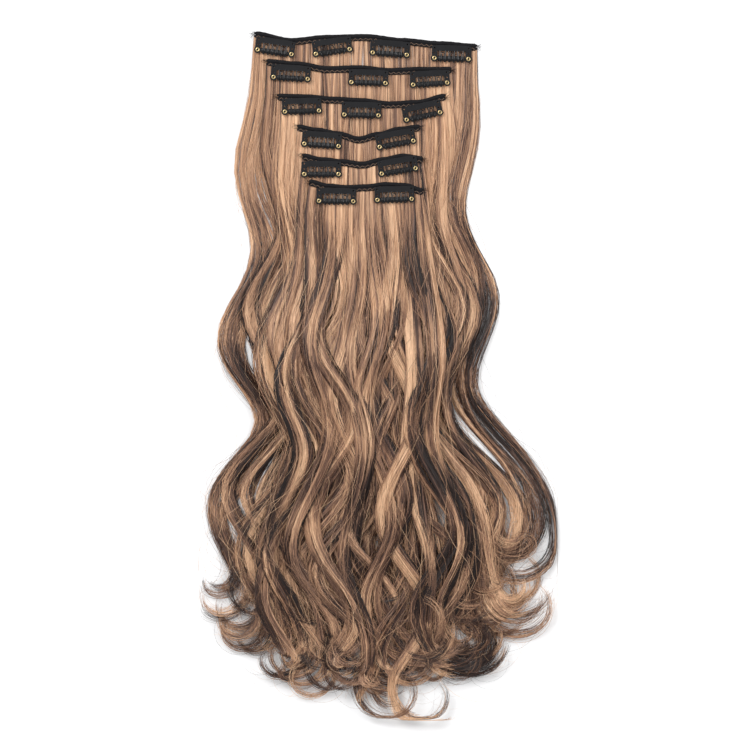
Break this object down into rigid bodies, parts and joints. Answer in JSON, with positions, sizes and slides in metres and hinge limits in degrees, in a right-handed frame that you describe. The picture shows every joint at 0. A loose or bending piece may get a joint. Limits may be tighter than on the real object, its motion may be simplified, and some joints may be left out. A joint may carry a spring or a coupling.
{
  "type": "clip-in hair extension",
  "caption": "Long two-tone hairpiece of overlapping wefts with curled ends, each weft sewn to a rolled black band with snap comb clips.",
  "frame": {"origin": "under the middle of the laid-out piece, on the surface that it lies on", "axes": "+Y from the curled ends to the sewn roots, +X to the right seen from the clip side, +Z out of the clip side"},
  "size_m": [0.3096, 0.6152, 0.0267],
  "materials": {
    "hair": "two-tone synthetic hair, caramel and brown, soft sheen",
    "band": "black sewn tape, matte",
    "plate": "glossy black enamel",
    "tube": "black silicone, satin",
    "rivet": "pale polished brass eyelets on a black spring strip"
  },
  "bodies": {
    "root": {"clip_1_1_bow": "rivet", "clip_1_1_plate": "plate", "clip_1_1_tube": "tube", "clip_1_2_bow": "rivet", "clip_1_2_plate": "plate", "clip_1_2_tube": "tube", "clip_1_3_bow": "rivet", "clip_1_3_plate": "plate", "clip_1_3_tube": "tube", "clip_1_4_bow": "rivet", "clip_1_4_plate": "plate", "clip_1_4_tube": "tube", "clip_2_1_bow": "rivet", "clip_2_1_plate": "plate", "clip_2_1_tube": "tube", "clip_2_2_bow": "rivet", "clip_2_2_plate": "plate", "clip_2_2_tube": "tube", "clip_2_3_bow": "rivet", "clip_2_3_plate": "plate", "clip_2_3_tube": "tube", "clip_3_1_bow": "rivet", "clip_3_1_plate": "plate", "clip_3_1_tube": "tube", "clip_3_2_bow": "rivet", "clip_3_2_plate": "plate", "clip_3_2_tube": "tube", "clip_3_3_bow": "rivet", "clip_3_3_plate": "plate", "clip_3_3_tube": "tube", "clip_4_1_bow": "rivet", "clip_4_1_plate": "plate", "clip_4_1_tube": "tube", "clip_4_2_bow": "rivet", "clip_4_2_plate": "plate", "clip_4_2_tube": "tube", "clip_5_1_bow": "rivet", "clip_5_1_plate": "plate", "clip_5_1_tube": "tube", "clip_5_2_bow": "rivet", "clip_5_2_plate": "plate", "clip_5_2_tube": "tube", "clip_6_1_bow": "rivet", "clip_6_1_plate": "plate", "clip_6_1_tube": "tube", "clip_6_2_bow": "rivet", "clip_6_2_plate": "plate", "clip_6_2_tube": "tube", "weft_1_band": "band", "weft_1_hair": "hair", "weft_2_band": "band", "weft_2_hair": "hair", "weft_3_band": "band", "weft_3_hair": "hair", "weft_4_band": "band", "weft_4_hair": "hair", "weft_5_band": "band", "weft_5_hair": "hair", "weft_6_band": "band", "weft_6_hair": "hair"}
  },
  "joints": []
}
